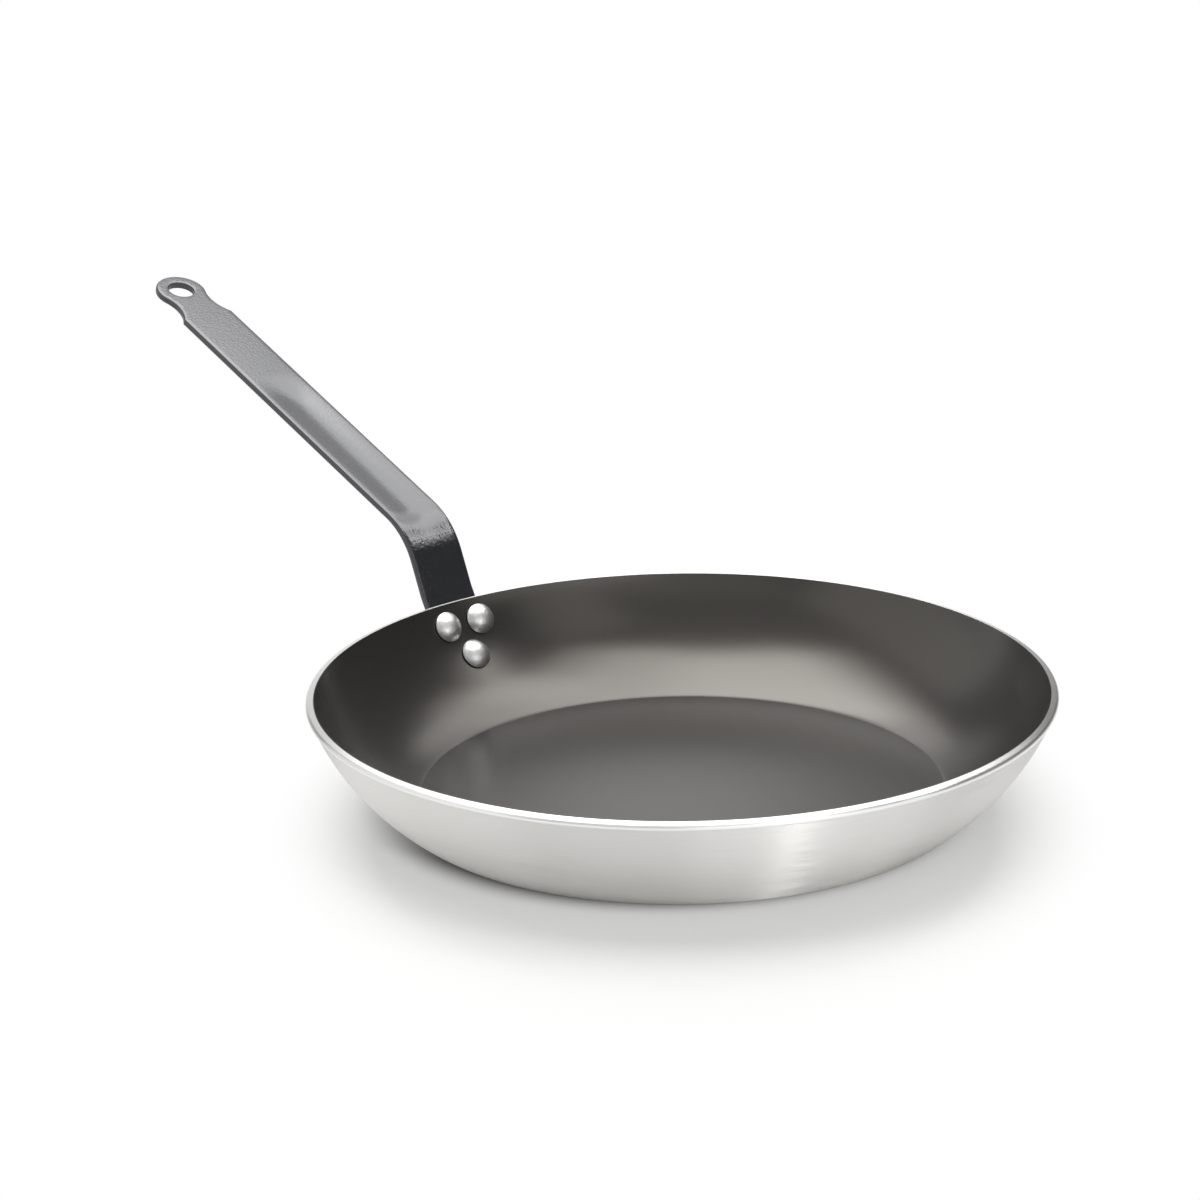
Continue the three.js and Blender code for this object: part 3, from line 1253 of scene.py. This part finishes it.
@dataclass(frozen=True)
class RoomSide:
    """Side of the room towards which the level of its light is graded."""

    direction: tuple[float, float, float]  # right, away and up
    likeness: tuple[float, float]  # likeness to that direction where the grading starts and ends
    levels: tuple[float, float]

    def level(self, tree: bpy.types.NodeTree, look: bpy.types.NodeSocket, turn: Matrix) -> bpy.types.Node:
        """Grade the level along a ray.

        Args:
            tree: Node tree of the room.
            look: Socket of the direction in which the ray leaves.
            turn: Turn from the camera's view to the frame of the part.

        Returns:
            Node of the level.
        """
        aim = turn.to_3x3() @ Vector(self.direction).normalized()
        likeness = add_node(tree, "ShaderNodeVectorMath", {0: look, 1: aim}, operation="DOT_PRODUCT")
        grading = graded(likeness.outputs["Value"], self.likeness, self.levels)
        return add_node(tree, "ShaderNodeMapRange", grading, interpolation_type="SMOOTHSTEP")


@dataclass(frozen=True)
class Studio:
    """White paper floor, a dim room with a bright far wall, and soft lamps."""

    turn: Matrix
    floor_size: float = 8000
    floor_colour: str = "#E5E5E3"
    contact_shade_colour: str = "#8E8C88"  # painted contact shade: paper drawn darker where the base stands, in place of the shadow under its edge
    # zone of the painted contact shade round the base, which also keeps the white fill out of it
    contact: FloorZone = FloorZone((-6, 2), (101, 119))
    shadow: FloorZone = FloorZone((0, -25), (108, 215), narrowing=1.3)
    mirror: FloorZone = FloorZone((-9, 0), (126, 168))  # white that the metal mirrors
    sweep: FloorZone = FloorZone((100, -350), (400, 600), levels=(1.0, 0.62))  # brightness of that white
    fill_share: float = 0.32  # share of white in the shadow
    front_left: RoomSide = RoomSide((-0.7, -0.7, 0.1), (-0.4, 0.5), (0.105, 0.42))
    far_wall: RoomSide = RoomSide((-0.19, 1, 0.375), (0.91, 0.98), (0.0, 0.62))
    lamps: tuple[Softbox, ...] = (
        Softbox("overhead_core", place=(-285, 535, 1300), size=(630, 1530), level=1.5),
        Softbox("overhead_softbox", place=(-365, 595, 1310), size=(790, 1450), level=1.4),
        Softbox("overhead_wide", place=(-450, 650, 1320), size=(960, 1420), level=1.3),
        Softbox("overhead_right", place=(475, 548, 1300), size=(250, 1557), level=2.15),
        Softbox("overhead_edge", place=(725, 813, 1300), size=(250, 1027), level=2.15),
        Softbox("ring_lamp", place=(185, 310, 1300), size=(340, 1080), level=3.3),
        Softbox("grip_lamp", place=(185, 1088, 1300), size=(340, 477), level=2.9),
        Softbox("right_core", place=(582, 555, 1290), size=(505, 450), level=1.4),
        Softbox("bend_lamp_near", place=(900, 365, 1300), size=(160, 240), level=4.6),
        Softbox("bend_lamp_middle", place=(1055, 265, 1300), size=(150, 220), level=5.2),
        Softbox("bend_lamp_far", place=(1210, 175, 1300), size=(160, 220), level=5.4),
        Softbox("right_edge", place=(1440, 90, 1310), size=(300, 330), level=1.3),
        Softbox("right_fill", place=(970, 1005, 1300), size=(260, 650), level=1.0),
        Softbox("far_left", place=(-445, 1770, 1310), size=(1010, 820), level=1.3),
        Softbox("far_right", place=(505, 1763, 1310), size=(890, 873), level=1.0),
        Softbox("far_end", place=(800, 1763, 1320), size=(300, 873), level=0.45),
        Softbox("far_window", place=(-15, 2500, 960), size=(300, 800), level=0.88, aim=(0, 0, 0)),
        Softbox("far_card", place=(-560, 1350, 110), size=(700, 200), level=0.6, aim=(100, 0, 30)),
        Softbox("left_card", place=(-1500, 0, 650), size=(2600, 1300), level=0.42, aim=(0, 0, 0)),
        Softbox("front_card", place=(-100, -1700, 950), size=(2000, 700), level=0.2, aim=(0, 0, 0)),
        Softbox("right_card", place=(950, -950, 1250), size=(800, 1100), level=0.5, aim=(0, 0, 0)),
        Softbox("front_board", place=(800, -1024, 300), size=(1900, 600), level=0.9, aim=(0, 0, 20)),
        Softbox("front_strip", place=(555, -924, 190), size=(125, 260), level=8.8, aim=(0, 0, 20)),
    )

    def build(self) -> None:
        """Lay the floor, set the room's light and hang the lamps."""
        half = self.floor_size / 2
        corners = [Vector((x * half, y * half, 0)) for x, y in ((-1, -1), (1, -1), (1, 1), (-1, 1))]
        floor = new_object("paper_floor", corners, [[0, 1, 2, 3]])
        floor.matrix_world = self.turn.to_3x3().to_4x4()
        floor.data.materials.append(self.paper())
        self.room()
        for lamp in self.lamps:
            lamp.hang(self.turn)
            log.info("lamp %s", lamp.name)
        bpy.context.scene.view_settings.view_transform = "Standard"

    def paper(self) -> bpy.types.Material:
        """Make matt white paper that takes shadows near the pan, with painted contact shade where the base
        stands, and is plain white further off.

        Returns:
            Material of the floor.
        """
        material, tree = new_material("matt_white_paper")
        place = add_node(tree, "ShaderNodeTexCoord").outputs["Object"]
        rays = add_node(tree, "ShaderNodeLightPath").outputs
        eye = rays["Is Camera Ray"]
        through = {0: rays["Is Glossy Ray"], 1: rays["Is Transmission Ray"]}
        gloss = add_node(tree, "ShaderNodeMath", through, operation="MAXIMUM")
        clear = self.contact.level(tree, place)
        fill = add_node(tree, "ShaderNodeMath", {0: clear, 1: self.fill_share}, operation="MULTIPLY")
        open_paper = self.shadow.level(tree, place)
        white_seen = add_node(tree, "ShaderNodeMath", {0: fill, 1: open_paper}, operation="MAXIMUM")
        seen = add_node(tree, "ShaderNodeMath", {0: white_seen, 1: eye}, operation="MULTIPLY")
        mirrored = {0: self.mirror.level(tree, place), 1: gloss, 2: seen}
        share = add_node(tree, "ShaderNodeMath", mirrored, operation="MULTIPLY_ADD")
        # painted contact shade: the paper's colour darkens towards the base's edge
        tones = {MIX_FIRST: linear(self.contact_shade_colour), MIX_SECOND: linear(self.floor_colour)}
        colour = add_node(tree, "ShaderNodeMix", {"Factor": clear, **tones}, data_type="RGBA")
        matt = add_node(tree, "ShaderNodeBsdfDiffuse", {"Color": colour.outputs[MIX_RESULT]})
        sweep = self.sweep.level(tree, place)
        strength = add_node(tree, "ShaderNodeMath", {0: sweep, 1: eye}, operation="MAXIMUM")
        white = add_node(tree, "ShaderNodeEmission", {"Color": linear(WHITE), "Strength": strength})
        surface = add_node(tree, "ShaderNodeMixShader", {0: share, 1: matt, 2: white})
        add_node(tree, "ShaderNodeOutputMaterial", {"Surface": surface})
        return material

    def room(self) -> None:
        """Light the room: brighter at the front left and on the far wall, and white to the eye."""
        world = bpy.data.worlds.new("studio_room")
        world.use_nodes = True
        tree = world.node_tree
        tree.nodes.clear()
        look = add_node(tree, "ShaderNodeTexCoord").outputs["Generated"]
        near = self.front_left.level(tree, look, self.turn)
        far = self.far_wall.level(tree, look, self.turn)
        level = add_node(tree, "ShaderNodeMath", {0: near, 1: far}, operation="MAXIMUM")
        eye = add_node(tree, "ShaderNodeLightPath").outputs["Is Camera Ray"]
        strength = add_node(tree, "ShaderNodeMath", {0: level, 1: eye}, operation="MAXIMUM")
        light = add_node(tree, "ShaderNodeBackground", {"Color": linear(WHITE), "Strength": strength})
        add_node(tree, "ShaderNodeOutputWorld", {"Surface": light})
        bpy.context.scene.world = world


def main() -> None:
    """Build the camera, the studio and every piece of the pan, and log how many faces each piece has."""
    logging.basicConfig(level=logging.INFO, format="%(name)s: %(message)s")
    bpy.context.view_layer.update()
    camera = PhotoCamera()
    camera.build()
    Studio(camera.turn).build()
    shape = PanShape.from_frame()
    handle = Handle(shape)
    rivets = Rivets(shape, handle)
    Pan(shape).build(rivets.holes)
    handle.build(rivets)
    rivets.build()


if __name__ == "__main__":
    main()
